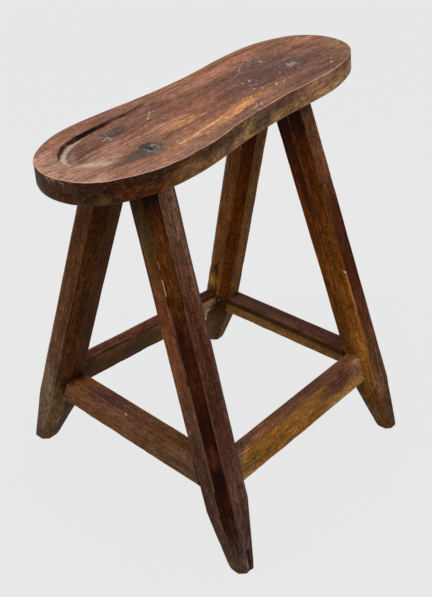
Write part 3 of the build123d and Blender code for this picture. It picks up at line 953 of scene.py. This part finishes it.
def make_rail(name):
    space = rail_space(name)
    mesh = merged_copy(name)
    to_local = space.inverted()
    spread = [max(abs((to_local @ v.co)[i]) for v in mesh.verts) for i in range(3)]

    def on_rail(edge):
        run = (edge.verts[1].co - edge.verts[0].co).normalized()
        return abs(run.dot(space.to_3x3().col[0])) > 0.9 and edge.calc_length() > spread[0]

    round_edges(mesh, RAIL_EDGE, *RAIL_EDGE_TURNS, on_rail)
    for axis, step in enumerate(RAIL_STEPS):
        slice_up(mesh, space, axis, steps(-spread[axis], spread[axis], step))
    layer = mark_arrises(mesh)

    def amount(local, normal, world, vert):
        near_end = spread[0] - abs(local.x)
        free = min(1.0, max(0.0, (near_end - RAIL_END_KEPT) / RAIL_END_EASE))
        return free * worn_post(local, (12, 18), (35, 80), RAILS[name]["seed"], vert[layer])

    wear(mesh, space, amount)
    add_piece(f"old_{name}", mesh, [name], rail_wood(name))


# Seat's side. Places in millimetres: along, to the left, up from its top.

SIDE_LOW = [(-230, 80, 54, 34), (-212, 74, 38, 15), (-190, 72, 31, 4), (-150, 82, 39, 8),
            (-110, 124, 80, 42), (-50, 142, 104, 60), (20, 164, 124, 78), (70, 152, 114, 68),
            (120, 184, 141, 90), (230, 140, 104, 70)]
SIDE_HIGH = [(-230, 68, 46, 32), (-212, 54, 28, 14), (-190, 50, 21, 7), (-120, 86, 48, 22),
             (-70, 92, 62, 44), (20, 112, 80, 66), (70, 116, 80, 64), (120, 152, 108, 80),
             (230, 112, 78, 56)]
SIDE_SPOTS = [
    ((126, 92, 58), 0.7, (-112, -79, -17), (18, 14, 8)),
    ((174, 134, 80), 0.65, (-3, -66, -14), (10, 20, 14)),
    ((70, 44, 32), 0.6, (-62, -74, -8), (28, 30, 6)),
    ((104, 72, 60), 0.75, (23, -64, -18), (17, 20, 18), 0.5),
    ((82, 55, 45), 0.65, (66, -62, -7), (26, 30, 6)),
    ((48, 34, 22), 0.6, (-215, -40, -20), (16, 20, 10)),
    ((22, 12, 8), 0.8, (-199, -55, -14), (5, 8, 4)),
    ((40, 22, 14), 0.6, (-160, -74, -8), (30, 10, 4)),
    ((112, 86, 32), 0.6, (-204, -56, -24), (8, 12, 6), 0.7),
]
SIDE_CRACKS = [
    ((46, 28, 18), 0.8, ((8, -66, -12), (2, -68, -29)), 0.9, 0.7),
    ((50, 30, 20), 0.7, ((-14, -70, -8), (-24, -72, -26)), 0.8),
    ((52, 32, 24), 0.6, ((52, -64, -4), (30, -65, -22)), 0.8),
    ((56, 36, 26), 0.6, ((100, -63, -16), (190, -48, -14)), 0.8, 0.9),
    ((168, 142, 132), 0.6, ((-229.5, 5, -2.6), (-229, 0, -4.6)), 1.0, 0.9),
    ((172, 146, 138), 0.65, ((-229, -4, -2.4), (-228, -8, -3.2)), 1.1, 0.9),
    ((150, 124, 112), 0.5, ((-227.5, -13, -2.8), (-226.5, -18, -4.4)), 0.8, 0.9),
    ((150, 124, 112), 0.4, ((-225, -24, -2.2), (-223, -30, -2.4)), 0.7, 0.9),
]

SEAT_STEP = 4 * MM
BOWL_MIDDLE = (-118, 0)
BOWL_HALF = (106, 62)
SIDE_CHANGE, SIDE_SWAY = (-20 * MM, -12 * MM), 0.05  # where the side's high tones take over from the low
UNDERSIDE_TONE = (60, 40, 28)
# Tone of the painted highlight along the seat's rounded top edge
RIM_HIGHLIGHT_TONE = (216, 168, 150)
CHECKED_TONE, HEWN_TONE = (36, 22, 16), (128, 90, 54)


def seat_wood():
    wood = Wood("seat_wood_old", seat_space(), 1.3, SEAT_TONE, across=70.0)
    up = wood.facing["Z"]
    wood.spots(TOP_SPOTS)
    wood.strokes(TOP_STREAKS, sink=0.0)
    outside = 1.0 - wood.patch(BOWL_MIDDLE, BOWL_HALF, soft=0.04, ragged=False)
    side = up.between(0.75, 0.35) * outside
    wood.lay(side, wood.tones_along(SIDE_LOW))
    height = wood.place["Z"] + (wood.mottle["Broad"] - 0.5) * SIDE_SWAY
    wood.lay(side * height.between(*SIDE_CHANGE), wood.tones_along(SIDE_HIGH), 0.9)
    wood.spots(SIDE_SPOTS, side)
    wood.lay(up.between(-0.7, -0.95), UNDERSIDE_TONE)
    wood.lay(side * wood.clouds(0.46, 0.62, 60, 80, 5.0), CHECKED_TONE, 0.5)
    wood.lay(side * wood.clouds(0.50, 0.66, 130, 220, 7.0), HEWN_TONE, 0.2)
    wood.weather(band=0.17, fibre=0.27, pore=0.5, fleck=0.3, small=0.16, grit=0.24)
    # A painted highlight on the rounded top edge, outside the dish, broken up by clouds.
    not_wall = up.between(0.25, 0.5)
    not_level = up.between(0.985, 0.90)
    near_top = wood.place["Z"].between(-4 * MM, -2 * MM)
    rim_highlight = not_wall * not_level * near_top
    broken = wood.clouds(0.24, 0.48, 24, 24, 5.0)
    wood.lay(rim_highlight * outside * broken, RIM_HIGHLIGHT_TONE, 0.65)
    level = 1.0 - side
    # The lip's pale streaks, and its dark lines of painted shade
    wood.strokes(LIP_MARKS_AND_SHADE, level)
    wood.strokes(CHIP_MARKS, level)
    wood.spots([(SPECK_TONE, 0.9, (x, y), (size * 1.2, size), 0.7, x, False) for x, y, size in SPECKS])
    wood.strokes(SIDE_CRACKS, sink=0.8)
    return wood.finish(shine=0.045)


def make_seat():
    space = seat_space()
    mesh = merged_copy("seat")
    for axis in range(3):
        middle = space.translation[axis]
        slice_up(mesh, space, axis, steps(SEAT_LOW[axis] - middle, SEAT_HIGH[axis] - middle, SEAT_STEP))

    def amount(local, normal, world, vert):
        side = max(0.0, 1 - abs(normal.z) * 1.3)
        flat = 0.4 * ripple(local, 12, 20, 1.5, 0.4)
        hewn = 2.0 * ripple(local, 26, 34, 2.5, 0.5) + 1.2 * ripple(local, 70, 90, 3.5, 0.5)
        return (flat + side * hewn) * MM

    wear(mesh, space, amount)
    add_piece("old_seat", mesh, ["seat"], seat_wood())


# Wedges keep their solids and get a finish of their own

def dress_wedge(corner):
    wedge = frame["nodes"][f"wedge_{corner}"]
    tone, strength = TENONS[corner][1:]
    wood = Wood(f"wedge_wood_{corner}", Matrix.Identity(4), 2.0, SEAT_TONE)
    wood.spots(near_tenon(corner))
    wood.lay(1.0, [value * 0.8 for value in tone], strength)
    wood.weather(fleck=0.2)
    wood.strokes(TENON_MARKS[corner])
    wedge.data.materials.clear()
    wedge.data.materials.append(wood.finish())


# Studio: lights in watts, places and sizes in metres

WORLD_LIGHT = 0.5
BACKDROP = colour(233, 233, 233)
FLOOR_HALF = 12
FLOOR_TONE = (0.78, 0.78, 0.78, 1)
FLOOR_PLAIN_SHARE = 0.95
FLOOR_FADE = 0.8, 4.0
AIM = Vector((0, 0, 0.3))
LAMPS = [
    # name, place, size, power
    ("lamp_top", (-0.1, 0.1, 2.1), 1.8, 14),
    ("lamp_left", (-2.0, 0.3, 1.3), 1.4, 10),
    ("lamp_right", (0.3, -2.0, 1.3), 1.4, 10),
]


def seen_by(tree):
    """1 for the rays that show the backdrop: the camera's, and those through and off shiny things."""
    rays = node(tree, "LightPath")
    seen = maths(rays["Is Camera Ray"], "MAXIMUM", rays["Is Transmission Ray"])
    return maths(seen, "MAXIMUM", rays["Is Glossy Ray"])


def make_world():
    world = bpy.data.worlds.new("studio")
    bpy.context.scene.world = world
    tree = empty_tree(world)
    glow = node(tree, "Background", {"Color": (1, 1, 1, 1), "Strength": WORLD_LIGHT})[0]
    back = node(tree, "Background", {"Color": BACKDROP, "Strength": 1.0})[0]
    both = node(tree, "MixShader", {0: seen_by(tree), 1: glow, 2: back})[0]
    node(tree, "OutputWorld", {"Surface": both})


def make_floor():
    """A pale floor with the stool's soft shadow. Further out it is the backdrop's tone, with no horizon."""
    mesh = bmesh.new()
    bmesh.ops.create_grid(mesh, x_segments=1, y_segments=1, size=FLOOR_HALF)
    floor = new_object("studio_floor", mesh_data("studio_floor", mesh))
    material = bpy.data.materials.new("studio_floor")
    tree = empty_tree(material)
    matt = node(tree, "BsdfDiffuse", {"Color": FLOOR_TONE})[0]
    plain = node(tree, "Emission", {"Color": BACKDROP, "Strength": 1.0})[0]
    away = node(tree, "TexCoord")["Object"].length()
    share = seen_by(tree) * away.between(*FLOOR_FADE, FLOOR_PLAIN_SHARE, 1.0)
    both = node(tree, "MixShader", {0: share, 1: matt, 2: plain})[0]
    node(tree, "OutputMaterial", {"Surface": both})
    floor.data.materials.append(material)


def make_lamps():
    for name, place, size, power in LAMPS:
        lamp = bpy.data.lights.new(name, "AREA")
        lamp.shape = "RECTANGLE"
        lamp.size = lamp.size_y = size
        lamp.energy = power
        holder = new_object(name, lamp)
        holder.location = place
        holder.rotation_mode = "QUATERNION"
        holder.rotation_quaternion = (AIM - Vector(place)).to_track_quat("-Z", "Y")


def make_camera():
    camera = bpy.data.cameras.new("camera")
    camera.lens = FOCAL_PIXELS * SENSOR_MM / PHOTO_HEIGHT
    camera.shift_x = (PHOTO_WIDTH / 2 - PRINCIPAL_X) / PHOTO_HEIGHT
    camera.shift_y = (PRINCIPAL_Y - PHOTO_HEIGHT / 2) / PHOTO_HEIGHT
    azimuth, elevation, roll = (math.radians(a) for a in (CAMERA_AZIMUTH, CAMERA_ELEVATION, CAMERA_ROLL))
    level = math.cos(elevation)
    back = Vector((math.sin(azimuth) * level, -math.cos(azimuth) * level, math.sin(elevation)))
    right = Vector((math.cos(azimuth), math.sin(azimuth), 0))
    up = back.cross(right)
    tilted_right = right * math.cos(roll) + up * math.sin(roll)
    tilted_up = up * math.cos(roll) - right * math.sin(roll)
    holder = new_object("camera", camera)
    matrix = Matrix((tilted_right, tilted_up, back)).transposed().to_4x4()
    matrix.translation = CAMERA_PLACE
    holder.matrix_world = matrix
    bpy.context.scene.camera = holder
    bpy.context.scene.view_settings.view_transform = "Standard"


make_world()
make_floor()
make_lamps()
make_camera()
make_seat()
for corner in LEGS:
    make_leg(corner)
    dress_wedge(corner)
for rail in RAILS:
    make_rail(rail)
